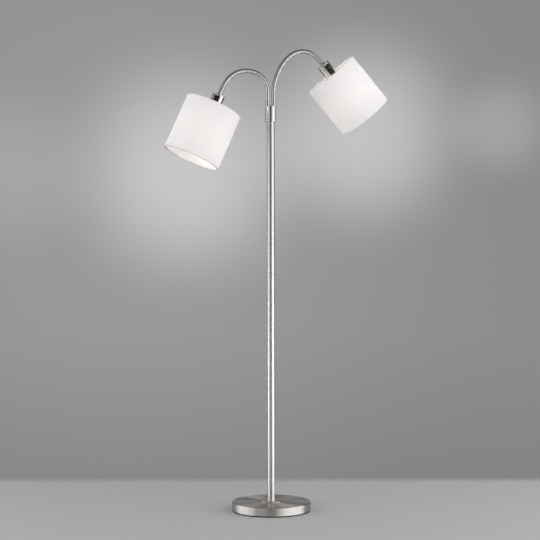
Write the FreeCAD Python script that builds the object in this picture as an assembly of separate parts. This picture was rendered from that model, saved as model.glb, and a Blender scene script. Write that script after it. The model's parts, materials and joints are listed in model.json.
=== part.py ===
import FreeCAD, Part

import math
import os

from FreeCAD import Placement, Rotation, Vector

# Two-headed gooseneck floor lamp. Millimetres and degrees.
# The origin is the centre of the pad's underside, on the floor, +Z is up, and both necks lie in
# the XZ plane: the left head stands on the -X side, the right head on the +X side. The switches
# face -Y and the mains lead comes out at +Y.

X = Vector(1, 0, 0)
Y = Vector(0, 1, 0)
Z = Vector(0, 0, 1)
ORIGIN = Vector(0, 0, 0)

# ---------------------------------------------------------------- driving dimensions
# fits
SLIP = 0.05                   # radial clearance of a shaft, thread or plug in its hole
LOOSE = 0.3                   # clearance between pieces that move past each other
OVERCUT = 1.0                 # how far a cut runs past the surface it opens
TINY = 1e-4                   # closer than this is the same place, and less turn than this is straight

# base
BASE_DIAMETER = 250.0
BASE_HEIGHT = 25.0            # cover, from the pad to the top plate
BASE_WALL = 1.2
BASE_EDGE_RADIUS = 2.2
BOSS_DIAMETER = 76.0
BOSS_RISE = 3.0
BOSS_SLOPE = 3.0              # width of the bevel around the boss
PAD_THICKNESS = 3.5
PAD_INSET = 1.5
WEIGHT_SIDE_GAP = 3.0
WEIGHT_FLOOR_GAP = 0.7        # between the lead and the weight
WEIGHT_POCKET_DIAMETER = 30.0

# threaded tube that ties the pieces together
STUD_DIAMETER = 10.0
STUD_BORE = 6.6
STUD_REACH = 14.0             # length inside a plug
NUT_ACROSS_FLATS = 14.0
NUT_HEIGHT = 5.0
NUT_UNDER = 0.8               # stud left showing beyond its nut
WASHER_DIAMETER = 24.0
WASHER_THICKNESS = 1.2

# pole
POLE_DIAMETER = 24.5
POLE_WALL = 1.2
POLE_SECTION = 401.5
POLE_SECTIONS = ("pole_lower", "pole_middle", "pole_upper")
POLE_EDGE_CHAMFER = 0.5
PLUG_LENGTH = 16.0
COUPLING_LENGTH = 36.0
COUPLING_BORE = 9.0

# collar that holds both necks
COLLAR_DIAMETER = 34.5
COLLAR_HEIGHT = 50.0
COLLAR_WALL = 1.5
COLLAR_FLOOR = 6.0
COLLAR_EDGE_RADIUS = 0.8
CAP_THICKNESS = 5.0
NECK_OFFSET = 9.6             # from the pole's axis to each neck
GRUB_SCREW_DIAMETER = 3.0
GRUB_SCREW_DEPTH = 2.0        # how far each screw reaches into the cap
GRUB_SCREW_ANGLES = (50.0, 130.0)

# mains lead, neck leads and the joints between them
LEAD_DIAMETER = 5.2
LEAD_HEIGHT = 9.5             # axis of the lead under the weight
LEAD_BEND_RADIUS = 6.2
NECK_LEAD_TAIL = 14.0         # lead below the collar's top
GROMMET_FLANGE_DIAMETER = 12.0
GROMMET_FLANGE = 1.6
GROMMET_NECK_WALL = 1.9
GROMMET_EDGE_RADIUS = 0.5
JOINER_DIAMETER = 6.4
JOINER_LENGTH = 15.0
JOINER_EDGE_RADIUS = 1.0

# necks: a wound metal hose, cut for motion into links joined by ball ends
NECK_DIAMETER = 14.0
NECK_VALLEY_DEPTH = 0.55
NECK_BORE = 6.8
RIB_PITCH = 3.0
RIB_CREST = (0.28, 0.72)      # where a rib's flat crest starts and ends, as shares of the pitch
RIB_FOOT = 0.06               # valley left at each side of a rib, as a share of the pitch
BALL_DIAMETER = 11.2
SOCKET_START = 0.5            # from the ball's centre to the next link's rim
HINGE_SPARE = 0.6
TAIL_DIAMETER = 9.0
TAIL_FLANGE_DIAMETER = 11.6
TAIL_FLANGE = 1.5
UNBENT_TOTAL = 40.0           # a neck's whole turn when it is straightened as far as it goes
BENT_TOTAL = 180.0            # and when its head hangs straight down

# per side: azimuth of the neck, its length, the turn of each link and the switch's turn on the cup
SIDES = {
    "left": {
        "azimuth": 180.0,
        "neck_length": 280.0,
        "turns": (0.0, 26.0, 43.0, 27.0, 30.0, 25.0, 5.0),
        "switch_turn": 197.5,
    },
    "right": {
        "azimuth": 0.0,
        "neck_length": 305.0,
        "turns": (0.0, 17.0, 13.0, 18.0, 33.0, 45.0, 13.0),
        "switch_turn": -5.0,
    },
}

# socket cup
CUP_DIAMETER = 40.0
CUP_LENGTH = 72.0
CUP_WALL = 1.2
CUP_TOP = 1.6
CUP_EDGE_RADIUS = 1.2
NIPPLE_IN_NECK = 11.5
CUP_NUT_HEIGHT = 4.0

# rocker switch
SWITCH_WIDTH = 16.4
SWITCH_LENGTH = 31.0
SWITCH_START = 7.5            # from the cup's top to the bezel
SWITCH_SINK = 17.6            # from the cup's axis to the back of the bezel
BEZEL_THICKNESS = 3.2
SWITCH_BODY_WIDTH = 13.0
SWITCH_BODY_LENGTH = 27.0
SWITCH_BODY_DEPTH = 10.5      # behind the bezel
ROCKER_WIDTH = 10.2
ROCKER_LENGTH = 21.0
ROCKER_THICKNESS = 3.4
ROCKER_PIVOT_DEPTH = 3.4      # below the bezel's face
ROCKER_TILT = 8.0             # to each side of the middle
ROCKER_LIFT = 0.3             # of the pressed half above the bezel
ROCKER_KEEL = 1.0             # how far the middle of the rocker's back stands below its ends
ROCKER_KEEL_INSET = 2.0
ROCKER_PIN_DIAMETER = 2.0
ROCKER_PIN_LENGTH = 0.8
ROCKER_WELL_DEPTH = 7.4
ROCKER_SIDE_GAP = 0.25
ROCKER_END_GAP = 0.95

# lampholder
HOLDER_DIAMETER = 34.0
HOLDER_IN_CUP = 28.0
HOLDER_ROOF = 8.0
HOLDER_FLANGE = 2.0
HOLDER_SKIRT_DIAMETER = 38.6
HOLDER_SKIRT_LENGTH = 20.0
HOLDER_MOUTH_FLARE = 2.1      # how much wider than its bore the skirt opens at its mouth
SHELL_WALL = 1.4
SHELL_LENGTH = 24.0
CONTACT_DIAMETER = 8.0
CONTACT_THICKNESS = 2.5

# bulb
BULB_CAP_DIAMETER = 26.4
BULB_CAP_LENGTH = 25.5
BULB_CAP_BEVEL = 1.0
BULB_TIP_DIAMETER = 9.0
BULB_DIAMETER = 60.0
BULB_GLASS_LENGTH = 83.0
BULB_GLASS_WALL = 1.0
BULB_SHOULDER_ANGLE = -35.0   # on the round head, from its middle, where the neck's flare meets it
BULB_DOME_ANGLE = 20.0        # a point between that and the tip
BULB_WAIST = (0.3, 0.55)      # the flare's middle point: shares of its width and of the neck's length
BULB_SIDE_GAP = 0.4           # between the bulb's cap and the holder's shell

# shade and the frame that carries it
SHADE_DIAMETER = 182.6
SHADE_HEIGHT = 180.0
SHADE_WALL = 1.1
SHADE_DROP = 39.5             # from the cup's top to the shade's top edge
WIRE_DIAMETER = 2.6
WIRE_INSET = 0.5              # from the shade's edge to the wire
SPIDER_HUB_DIAMETER = 58.0
SPIDER_HUB_THICKNESS = 1.2
SPIDER_ARM_DIAMETER = 2.4
SPIDER_ARM_ANGLES = (85.0, 205.0, 325.0)
SHADE_RING_DIAMETER = 46.0
SHADE_RING_LIP_DIAMETER = 52.0
SHADE_RING_LIP = 2.0
SHADE_RING_HEIGHT = 9.0
SHADE_RING_EDGE_RADIUS = 0.7

# ---------------------------------------------------------------- sizes that follow from them
BASE_TOP = PAD_THICKNESS + BASE_HEIGHT
POLE_START = BASE_TOP + BOSS_RISE
POLE_END = POLE_START + POLE_SECTION * len(POLE_SECTIONS)
COLLAR_TOP = POLE_END + COLLAR_HEIGHT
POLE_INNER = POLE_DIAMETER / 2 - POLE_WALL
COLLAR_INNER = COLLAR_DIAMETER / 2 - COLLAR_WALL
NECK_RADIUS = NECK_DIAMETER / 2
BALL_RADIUS = BALL_DIAMETER / 2
TAIL_END = -(CAP_THICKNESS + LOOSE + TAIL_FLANGE)     # below the cap's top face
STUD_BOTTOM = LEAD_HEIGHT + LEAD_BEND_RADIUS + LOOSE
NUT_BOTTOM = STUD_BOTTOM + NUT_UNDER
WASHER_BOTTOM = NUT_BOTTOM + NUT_HEIGHT
WEB_BOTTOM = WASHER_BOTTOM + WASHER_THICKNESS
WEIGHT_BOTTOM = LEAD_HEIGHT + LEAD_DIAMETER / 2 + WEIGHT_FLOOR_GAP
COVER_INNER_TOP = BASE_TOP - BASE_WALL
CUP_INNER = CUP_DIAMETER / 2 - CUP_WALL
HOLDER_TOP = CUP_LENGTH - HOLDER_IN_CUP
HOLDER_FLANGE_END = CUP_LENGTH + HOLDER_FLANGE
HOLDER_MOUTH = HOLDER_FLANGE_END + HOLDER_SKIRT_LENGTH
HOLDER_FLOOR = HOLDER_TOP + HOLDER_ROOF
CONTACT_END = HOLDER_FLOOR + CONTACT_THICKNESS
SHELL_INNER = BULB_CAP_DIAMETER / 2 + BULB_SIDE_GAP
SHELL_OUTER = SHELL_INNER + SHELL_WALL
BULB_CAP_END = CONTACT_END + BULB_CAP_LENGTH
BULB_TIP = BULB_CAP_END + BULB_GLASS_LENGTH
SHADE_INNER = SHADE_DIAMETER / 2 - SHADE_WALL
WIRE_RING_RADIUS = SHADE_INNER - SLIP - WIRE_DIAMETER / 2
TOP_WIRE = SHADE_DROP + WIRE_INSET + WIRE_DIAMETER / 2
BOTTOM_WIRE = SHADE_DROP + SHADE_HEIGHT - WIRE_INSET - WIRE_DIAMETER / 2
HUB_END = HOLDER_FLANGE_END + SPIDER_HUB_THICKNESS
BEZEL_FACE = SWITCH_SINK + BEZEL_THICKNESS
SWITCH_MIDDLE = SWITCH_START + SWITCH_LENGTH / 2
MAINS_LEAD_END = COLLAR_TOP - NECK_LEAD_TAIL - JOINER_LENGTH / 2
JOINER_OFFSET = (LEAD_DIAMETER + JOINER_DIAMETER) / 2 + LOOSE

# ---------------------------------------------------------------- shape helpers


def lathe(points):
    """A solid turned about Z from a closed outline of (radius, height) points."""
    corners = [Vector(r, 0, z) for r, z in points]
    face = Part.Face(Part.makePolygon(corners + corners[:1]))
    return face.revolve(ORIGIN, Z, 360)


def ring(outer, inner, low, high):
    """A plain tube or washer between two heights."""
    return lathe([(inner, low), (outer, low), (outer, high), (inner, high)])


def disc(radius, low, high):
    """A plain cylinder between two heights."""
    return Part.makeCylinder(radius, high - low, Vector(0, 0, low))


def ring_edges(shape, radius, height):
    """The circular edges of a turned shape at one radius and height."""
    found = []
    for edge in shape.Edges:
        curve = edge.Curve
        if isinstance(curve, Part.Circle) and abs(curve.Radius - radius) < TINY:
            if abs(curve.Center.z - height) < TINY:
                found.append(edge)
    return found


def rounded(shape, size, places):
    """Rounds the circular edges at the given (radius, height) places."""
    edges = [e for radius, height in places for e in ring_edges(shape, radius, height)]
    return shape.makeFillet(size, edges)


def hexagon(across_flats, bore, low, high):
    """A hexagon nut without its thread."""
    corner = across_flats / 2 / math.cos(math.radians(30))
    corners = []
    for k in range(6):
        turn = math.radians(60 * k)
        corners.append(Vector(corner * math.cos(turn), corner * math.sin(turn), low))
    body = Part.Face(Part.makePolygon(corners + corners[:1])).extrude(Z * (high - low))
    return body.cut(disc(bore, low - OVERCUT, high + OVERCUT))


def block(width, depth, height, centre):
    """A box with its sizes along X, Y and Z and its centre."""
    corner = centre - Vector(width / 2, depth / 2, height / 2)
    return Part.makeBox(width, depth, height, corner)


def joined(first, *others):
    """One solid from touching or overlapping solids."""
    return first.multiFuse(list(others)).removeSplitter()


def moved(shape, placement):
    """A copy of a shape put in its place."""
    copy = shape.copy()
    copy.transformShape(placement.toMatrix(), True)
    return copy


def put(node, shape):
    """Writes one sub-part."""
    shape.exportStep("parts/%s.step" % node)


# ---------------------------------------------------------------- neck line


def along(length, turn, distance):
    """Frame on a span that starts at the origin along +Z and turns evenly towards +X."""
    if abs(turn) < TINY:
        return Placement(Vector(0, 0, distance), Rotation())
    radius = length / math.radians(turn)
    angle = distance / radius
    point = Vector(radius * (1 - math.cos(angle)), 0, radius * math.sin(angle))
    return Placement(point, Rotation(Y, math.degrees(angle)))


def link_length(side):
    return SIDES[side]["neck_length"] / len(SIDES[side]["turns"])


def neck_frames(side):
    """The frame at the start of each link, and at the cup's top."""
    start = Rotation(Z, SIDES[side]["azimuth"])
    frame = Placement(start.multVec(X * NECK_OFFSET) + Z * COLLAR_TOP, start)
    frames = [frame]
    for turn in SIDES[side]["turns"]:
        frame = frame.multiply(along(link_length(side), turn, link_length(side)))
        frames.append(frame)
    return frames


def hinge_shares(side):
    """How much of the neck's turn at rest lies around each ball: half of each link beside it."""
    turns = SIDES[side]["turns"]
    return [(a + b) / 2 for a, b in zip(turns, turns[1:])]


def hinge_travel(side):
    """For each ball, how far it turns back when unbent and on when bent, in degrees."""
    shares = hinge_shares(side)
    whole = sum(SIDES[side]["turns"])
    back = (whole - UNBENT_TOTAL) / sum(shares)
    on = (BENT_TOTAL - whole) / sum(shares)
    return [(share * back, share * on) for share in shares]


def round_bar(length, turn, first, last, radius):
    """A round bar that follows a span between two distances along it."""
    frame = along(length, turn, first)
    face = Part.Face(Part.Wire(Part.makeCircle(radius, ORIGIN, Z)))
    face.Placement = frame
    if abs(turn) < TINY:
        return face.extrude(Z * (last - first))
    bend = length / math.radians(turn)
    return face.revolve(X * bend, Y, math.degrees((last - first) / bend))


def ribbed_bar(length, turn, first, last):
    """The hose's ribs between two distances along a span: a ruled skin over four circles a rib."""
    count = round((last - first) / RIB_PITCH)
    pitch = (last - first) / count
    valley = NECK_RADIUS - NECK_VALLEY_DEPTH
    profile = [(0.0, valley)]
    for rib in range(count):
        profile.append((rib + RIB_FOOT, valley))
        profile.append((rib + RIB_CREST[0], NECK_RADIUS))
        profile.append((rib + RIB_CREST[1], NECK_RADIUS))
        profile.append((rib + 1 - RIB_FOOT, valley))
    profile.append((count, valley))
    circles = []
    for place, radius in profile:
        circle = Part.Wire(Part.makeCircle(radius, ORIGIN, Z))
        circle.Placement = along(length, turn, first + place * pitch)
        circles.append(circle)
    return Part.makeLoft(circles, True, True)


def hinge_reach(travel):
    """Room that a link's rim needs before the ball's centre to turn by that much."""
    turn = math.radians(travel)
    return NECK_RADIUS * math.sin(turn) - SOCKET_START * math.cos(turn) + HINGE_SPARE


def neck_link(side, index):
    """One link of a neck in its own frame: ribbed skin, bore, socket at its start, ball at its end."""
    length = link_length(side)
    turn = SIDES[side]["turns"][index]
    last_index = len(SIDES[side]["turns"]) - 1
    start = LOOSE if index == 0 else SOCKET_START
    if index == last_index:
        link = ribbed_bar(length, turn, start, length)
    else:
        back, on = hinge_travel(side)[index]
        outside, inside = hinge_reach(back), max(hinge_reach(on), HINGE_SPARE)
        link = ribbed_bar(length, turn, start, length - inside)
        slope = math.degrees(math.atan2(outside - inside, NECK_DIAMETER))
        wide = 4 * NECK_DIAMETER
        wedge = block(wide, wide, NECK_DIAMETER, Z * NECK_RADIUS)
        rim = Placement(Z * (-(outside + inside) / 2), Rotation(Y, -slope))
        end = along(length, turn, length)
        link = link.cut(moved(wedge, end.multiply(rim)))
        link = link.fuse(Part.makeSphere(BALL_RADIUS, end.Base))
    if index == 0:
        tail = disc(TAIL_DIAMETER / 2, TAIL_END, start)
        flange = disc(TAIL_FLANGE_DIAMETER / 2, TAIL_END, TAIL_END + TAIL_FLANGE)
        link = link.fuse(tail.fuse(flange))
        link = link.cut(disc(NECK_BORE / 2, TAIL_END - OVERCUT, start + OVERCUT))
    else:
        link = link.cut(Part.makeSphere(BALL_RADIUS + LOOSE / 2))
    link = link.cut(round_bar(length, turn, 0, length + BALL_DIAMETER, NECK_BORE / 2))
    if index == last_index:
        end = along(length, turn, length)
        socket = disc(STUD_DIAMETER / 2 + SLIP, -NIPPLE_IN_NECK - LOOSE, OVERCUT)
        link = link.cut(moved(socket, end))
    return link


def neck_lead(side):
    """The lead inside a neck, from its joiner in the collar to the lampholder, as one bar."""
    length = link_length(side)
    frames = neck_frames(side)
    edges = [Part.makeLine(Z * -NECK_LEAD_TAIL, ORIGIN)]
    edges[0].Placement = frames[0]
    for frame, turn in zip(frames, SIDES[side]["turns"]):
        middle = along(length, turn, length / 2).Base
        end = along(length, turn, length).Base
        if abs(turn) < TINY:
            edge = Part.makeLine(ORIGIN, end)
        else:
            edge = Part.Arc(ORIGIN, middle, end).toShape()
        edge.Placement = frame
        edges.append(edge)
    stub = Part.makeLine(ORIGIN, Z * HOLDER_TOP)
    stub.Placement = frames[-1]
    edges.append(stub)
    circle = Part.Wire(Part.makeCircle(LEAD_DIAMETER / 2, Z * -NECK_LEAD_TAIL, Z))
    circle.Placement = frames[0]
    path = Part.Wire(edges)
    lead = path.makePipeShell([circle], True, False)
    expected = path.Length * math.pi * LEAD_DIAMETER ** 2 / 4
    print("%s neck lead: length %.1f, volume ratio %.4f" % (side, path.Length, lead.Volume / expected))
    return lead


# ---------------------------------------------------------------- base


def base_cover():
    """Pressed steel cover with a raised boss in the middle and a hole for the lead at the back."""
    edge, boss = BASE_DIAMETER / 2, BOSS_DIAMETER / 2
    hole = STUD_DIAMETER / 2 + SLIP
    cover = lathe([
        (edge - BASE_WALL, PAD_THICKNESS), (edge, PAD_THICKNESS), (edge, BASE_TOP),
        (boss, BASE_TOP), (boss - BOSS_SLOPE, POLE_START), (hole, POLE_START),
        (hole, POLE_START - BASE_WALL), (boss - BOSS_SLOPE, POLE_START - BASE_WALL),
        (boss, COVER_INNER_TOP), (edge - BASE_WALL, COVER_INNER_TOP),
    ])
    cover = rounded(cover, BASE_EDGE_RADIUS, [(edge, BASE_TOP)])
    cover = rounded(cover, BASE_EDGE_RADIUS - BASE_WALL, [(edge - BASE_WALL, COVER_INNER_TOP)])
    reach = 2 * GROMMET_FLANGE_DIAMETER
    lead_hole = Part.makeCylinder(
        LEAD_DIAMETER / 2 + GROMMET_NECK_WALL, 2 * reach, Vector(0, edge - reach, LEAD_HEIGHT), Y)
    return cover.cut(lead_hole)


def cord_grommet():
    """Rubber grommet in the cover's wall, where the mains lead comes out."""
    edge = BASE_DIAMETER / 2
    sag = edge - math.sqrt(edge ** 2 - (GROMMET_FLANGE_DIAMETER / 2) ** 2)
    bore = LEAD_DIAMETER / 2 + SLIP
    neck = LEAD_DIAMETER / 2 + GROMMET_NECK_WALL - SLIP
    flange = GROMMET_FLANGE_DIAMETER / 2
    inside = -BASE_WALL - 2 * sag
    grommet = lathe([
        (bore, inside - GROMMET_FLANGE), (flange, inside - GROMMET_FLANGE), (flange, inside),
        (neck, inside), (neck, SLIP), (flange, SLIP), (flange, GROMMET_FLANGE), (bore, GROMMET_FLANGE),
    ])
    grommet = rounded(grommet, GROMMET_EDGE_RADIUS, [(flange, GROMMET_FLANGE)])
    return moved(grommet, Placement(Vector(0, edge, LEAD_HEIGHT), Rotation(X, -90)))


def base_weight():
    """Cast iron disc with a pocket for the nut."""
    outer = BASE_DIAMETER / 2 - BASE_WALL - WEIGHT_SIDE_GAP
    pocket, hole = WEIGHT_POCKET_DIAMETER / 2, STUD_DIAMETER / 2 + SLIP
    top = COVER_INNER_TOP
    web_top = POLE_START - BASE_WALL
    boss = BOSS_DIAMETER / 2 - BOSS_SLOPE - BASE_WALL
    return lathe([
        (pocket, WEIGHT_BOTTOM), (outer, WEIGHT_BOTTOM), (outer, top), (boss, top),
        (boss, web_top), (hole, web_top), (hole, WEB_BOTTOM), (pocket, WEB_BOTTOM),
    ])


def mains_lead():
    """The lead from the grommet under the weight and up the pole into the collar, as one bar."""
    outlet = BASE_DIAMETER / 2 + GROMMET_FLANGE
    bend = LEAD_BEND_RADIUS
    start = Vector(0, outlet, LEAD_HEIGHT)
    turn_in = Vector(0, bend, LEAD_HEIGHT)
    half = bend * math.sin(math.radians(45))
    turn_mid = Vector(0, bend - half, LEAD_HEIGHT + bend - half)
    turn_out = Vector(0, 0, LEAD_HEIGHT + bend)
    path = Part.Wire([
        Part.makeLine(start, turn_in),
        Part.Arc(turn_in, turn_mid, turn_out).toShape(),
        Part.makeLine(turn_out, Z * MAINS_LEAD_END),
    ])
    circle = Part.Wire(Part.makeCircle(LEAD_DIAMETER / 2, start, Y))
    lead = path.makePipeShell([circle], True, False)
    expected = path.Length * math.pi * LEAD_DIAMETER ** 2 / 4
    print("mains lead: length %.1f, volume ratio %.4f" % (path.Length, lead.Volume / expected))
    return lead


def make_base():
    stud, bore = STUD_DIAMETER / 2, STUD_BORE / 2
    put("base_cover", base_cover())
    put("base_weight", base_weight())
    put("base_pad", disc(BASE_DIAMETER / 2 - PAD_INSET, 0, PAD_THICKNESS))
    put("cord_grommet", cord_grommet())
    put("base_stud", ring(stud, bore, STUD_BOTTOM, POLE_START + STUD_REACH))
    put("base_nut", hexagon(NUT_ACROSS_FLATS, stud + SLIP, NUT_BOTTOM, WASHER_BOTTOM))
    put("base_washer", ring(WASHER_DIAMETER / 2, stud + SLIP, WASHER_BOTTOM, WEB_BOTTOM))
    put("mains_lead", mains_lead())


# ---------------------------------------------------------------- pole


def pole_section(low):
    """One steel tube, its ends broken by a small chamfer that shows as a groove at each seam."""
    outer, high, cut = POLE_DIAMETER / 2, low + POLE_SECTION, POLE_EDGE_CHAMFER
    return lathe([
        (POLE_INNER, low), (outer - cut, low), (outer, low + cut),
        (outer, high - cut), (outer - cut, high), (POLE_INNER, high),
    ])


def make_pole():
    plug, stud = POLE_INNER - SLIP, STUD_DIAMETER / 2
    seams = []
    for index, node in enumerate(POLE_SECTIONS):
        low = POLE_START + index * POLE_SECTION
        seams.append(low)
        put(node, pole_section(low))
    couplings = [
        ring(plug, COUPLING_BORE / 2, seam - COUPLING_LENGTH / 2, seam + COUPLING_LENGTH / 2)
        for seam in seams[1:]
    ]
    put("pole_couplings", Part.makeCompound(couplings))
    plugs = [
        ring(plug, stud + SLIP, POLE_START, POLE_START + PLUG_LENGTH),
        ring(plug, stud + SLIP, POLE_END - PLUG_LENGTH, POLE_END),
    ]
    put("pole_end_plugs", Part.makeCompound(plugs))


# ---------------------------------------------------------------- collar


def radial_pin(radius, inner, outer, height, azimuth):
    """A round bar that points outwards from the pole's axis."""
    direction = Rotation(Z, azimuth).multVec(X)
    return Part.makeCylinder(radius, outer - inner, direction * inner + Z * height, direction)


def make_collar():
    outer, stud = COLLAR_DIAMETER / 2, STUD_DIAMETER / 2
    screw, screw_height = GRUB_SCREW_DIAMETER / 2, COLLAR_TOP - CAP_THICKNESS / 2
    floor = POLE_END + COLLAR_FLOOR
    shell = lathe([
        (stud + SLIP, POLE_END), (outer, POLE_END), (outer, COLLAR_TOP),
        (COLLAR_INNER, COLLAR_TOP), (COLLAR_INNER, floor), (stud + SLIP, floor),
    ])
    shell = rounded(shell, COLLAR_EDGE_RADIUS, [(outer, POLE_END), (outer, COLLAR_TOP)])
    cap = disc(COLLAR_INNER - SLIP, COLLAR_TOP - CAP_THICKNESS, COLLAR_TOP)
    for side in SIDES:
        frame = neck_frames(side)[0]
        hole = disc(TAIL_DIAMETER / 2 + SLIP, -2 * CAP_THICKNESS, CAP_THICKNESS)
        cap = cap.cut(moved(hole, frame))
    tip = COLLAR_INNER - GRUB_SCREW_DEPTH
    screws = []
    for azimuth in GRUB_SCREW_ANGLES:
        hole = radial_pin(screw + SLIP, tip - SLIP, 2 * outer, screw_height, azimuth)
        shell = shell.cut(hole)
        cap = cap.cut(hole)
        screws.append(radial_pin(screw, tip, outer - SLIP, screw_height, azimuth))
    put("collar_shell", shell)
    put("collar_cap", cap)
    put("collar_screws", Part.makeCompound(screws))
    put("collar_nipple", ring(stud, STUD_BORE / 2, POLE_END - STUD_REACH, floor + NUT_UNDER))
    joiners = []
    for side in SIDES:
        away = Rotation(Z, SIDES[side]["azimuth"]).multVec(X)
        top = COLLAR_TOP - NECK_LEAD_TAIL
        joiner = disc(JOINER_DIAMETER / 2, top - JOINER_LENGTH, top)
        joiner = rounded(joiner, JOINER_EDGE_RADIUS, [(JOINER_DIAMETER / 2, top - JOINER_LENGTH)])
        joiner.translate(away * JOINER_OFFSET)
        joiners.append(joiner)
    put("wire_joiners", Part.makeCompound(joiners))


# ---------------------------------------------------------------- heads
# A head is drawn with its cup's top at the origin and the light's mouth along +Z.


def facing(side):
    """Turns a switch drawn on the -Y side of the cup to its place around the cup."""
    return Placement(ORIGIN, Rotation(Z, SIDES[side]["switch_turn"]))


def socket_cup(side):
    """Spun steel cup with a window for the switch."""
    outer, hole = CUP_DIAMETER / 2, STUD_DIAMETER / 2 + SLIP
    cup = lathe([
        (hole, 0), (outer, 0), (outer, CUP_LENGTH), (CUP_INNER, CUP_LENGTH),
        (CUP_INNER, CUP_TOP), (hole, CUP_TOP),
    ])
    cup = rounded(cup, CUP_EDGE_RADIUS, [(outer, 0)])
    window = block(SWITCH_WIDTH + 2 * SLIP, CUP_DIAMETER, SWITCH_LENGTH + 2 * SLIP,
                   Vector(0, -CUP_DIAMETER / 2, SWITCH_MIDDLE))
    return cup.cut(moved(window, facing(side)))


def rocker_outline():
    """The rocker's side view about its pivot, as (along, outwards) points in its middle position."""
    half = ROCKER_LENGTH / 2
    rise = half * math.tan(math.radians(ROCKER_TILT))
    middle = ROCKER_PIVOT_DEPTH + ROCKER_LIFT
    foot = middle - ROCKER_THICKNESS
    keel, inset = foot - ROCKER_KEEL, half - ROCKER_KEEL_INSET
    return [
        (-half, middle + rise), (0, middle), (half, middle + rise), (half, foot),
        (inset, keel), (-inset, keel), (-half, foot),
    ]


def switch_rocker():
    """The black rocker, pressed at the end next to the shade, with its two pivot pins."""
    corners = [Vector(-ROCKER_WIDTH / 2, -out, run) for run, out in rocker_outline()]
    body = Part.Face(Part.makePolygon(corners + corners[:1])).extrude(X * ROCKER_WIDTH)
    reach = ROCKER_WIDTH / 2 + ROCKER_PIN_LENGTH
    pin = Part.makeCylinder(ROCKER_PIN_DIAMETER / 2, 2 * reach, X * -reach, X)
    rocker = body.fuse(pin).removeSplitter()
    pressed = Rotation(X, -ROCKER_TILT)
    pivot = Vector(0, -(BEZEL_FACE - ROCKER_PIVOT_DEPTH), SWITCH_MIDDLE)
    return moved(rocker, Placement(pivot, pressed))


def switch_housing():
    """Bezel and body of the switch, with the rocker's well and pivot holes."""
    middle = Vector(0, 0, SWITCH_MIDDLE)
    bezel = block(SWITCH_WIDTH, BEZEL_THICKNESS, SWITCH_LENGTH,
                  middle - Y * (BEZEL_FACE - BEZEL_THICKNESS / 2))
    body = block(SWITCH_BODY_WIDTH, SWITCH_BODY_DEPTH, SWITCH_BODY_LENGTH,
                 middle - Y * (SWITCH_SINK - SWITCH_BODY_DEPTH / 2))
    well = block(ROCKER_WIDTH + 2 * ROCKER_SIDE_GAP, 2 * ROCKER_WELL_DEPTH,
                 ROCKER_LENGTH + 2 * ROCKER_END_GAP, middle - Y * BEZEL_FACE)
    reach = ROCKER_WIDTH / 2 + ROCKER_PIN_LENGTH + LOOSE
    pivot = middle - Y * (BEZEL_FACE - ROCKER_PIVOT_DEPTH)
    holes = Part.makeCylinder(ROCKER_PIN_DIAMETER / 2 + SLIP, 2 * reach, pivot - X * reach, X)
    return bezel.fuse(body).removeSplitter().cut(well).cut(holes)


def lampholder_body():
    """Moulded holder: a plain part inside the cup, a flange against its rim and a threaded skirt."""
    plain, flange = HOLDER_DIAMETER / 2, CUP_DIAMETER / 2 - SLIP
    skirt, bore = HOLDER_SKIRT_DIAMETER / 2, SHELL_OUTER + SLIP
    rivet = LEAD_DIAMETER / 2
    return lathe([
        (rivet, HOLDER_TOP), (plain, HOLDER_TOP), (plain, CUP_LENGTH), (flange, CUP_LENGTH),
        (flange, HOLDER_FLANGE_END), (skirt, HOLDER_FLANGE_END), (skirt, HOLDER_MOUTH),
        (bore + HOLDER_MOUTH_FLARE, HOLDER_MOUTH), (bore, HOLDER_FLOOR + SHELL_LENGTH),
        (bore, HOLDER_FLOOR), (rivet, HOLDER_FLOOR),
    ])


def lampholder_contacts():
    """The brass screw shell and the centre contact, two pieces."""
    shell = ring(SHELL_OUTER, SHELL_INNER, HOLDER_FLOOR, HOLDER_FLOOR + SHELL_LENGTH)
    contact = disc(CONTACT_DIAMETER / 2, HOLDER_FLOOR, CONTACT_END)
    rivet = disc(LEAD_DIAMETER / 2 - SLIP, HOLDER_TOP + LOOSE, HOLDER_FLOOR)
    return Part.makeCompound([shell, joined(contact, rivet)])


def bulb_cap():
    """The bulb's screw cap, with its tip on the centre contact."""
    tip, cap = BULB_TIP_DIAMETER / 2, BULB_CAP_DIAMETER / 2
    shoulder = CONTACT_END + (cap - tip) / 2
    return lathe([
        (0, CONTACT_END), (tip, CONTACT_END), (cap - BULB_CAP_BEVEL, shoulder),
        (cap, shoulder + BULB_CAP_BEVEL), (cap, BULB_CAP_END), (0, BULB_CAP_END),
    ])


def bulb_skin(radius, neck, low, high):
    """The bulb's outline turned solid: a neck that flares by arcs into a round head."""
    centre = high - radius

    def on_head(angle):
        turn = math.radians(angle)
        return Vector(radius * math.cos(turn), 0, centre + radius * math.sin(turn))

    shoulder, foot, top = on_head(BULB_SHOULDER_ANGLE), Vector(neck, 0, low), Z * high
    waist = Vector(neck + (shoulder.x - neck) * BULB_WAIST[0], 0, low + (centre - low) * BULB_WAIST[1])
    edges = [
        Part.makeLine(Z * low, foot),
        Part.Arc(foot, waist, shoulder).toShape(),
        Part.Arc(shoulder, on_head(BULB_DOME_ANGLE), top).toShape(),
        Part.makeLine(top, Z * low),
    ]
    return Part.Face(Part.Wire(edges)).revolve(ORIGIN, Z, 360)


def bulb_glass():
    """Hollow glass envelope that stands on the screw cap."""
    neck = BULB_CAP_DIAMETER / 2
    wall = BULB_GLASS_WALL
    outer = bulb_skin(BULB_DIAMETER / 2, neck, BULB_CAP_END, BULB_TIP)
    inner = bulb_skin(BULB_DIAMETER / 2 - wall, neck - wall, BULB_CAP_END + wall, BULB_TIP - wall)
    return outer.cut(inner)


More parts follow.
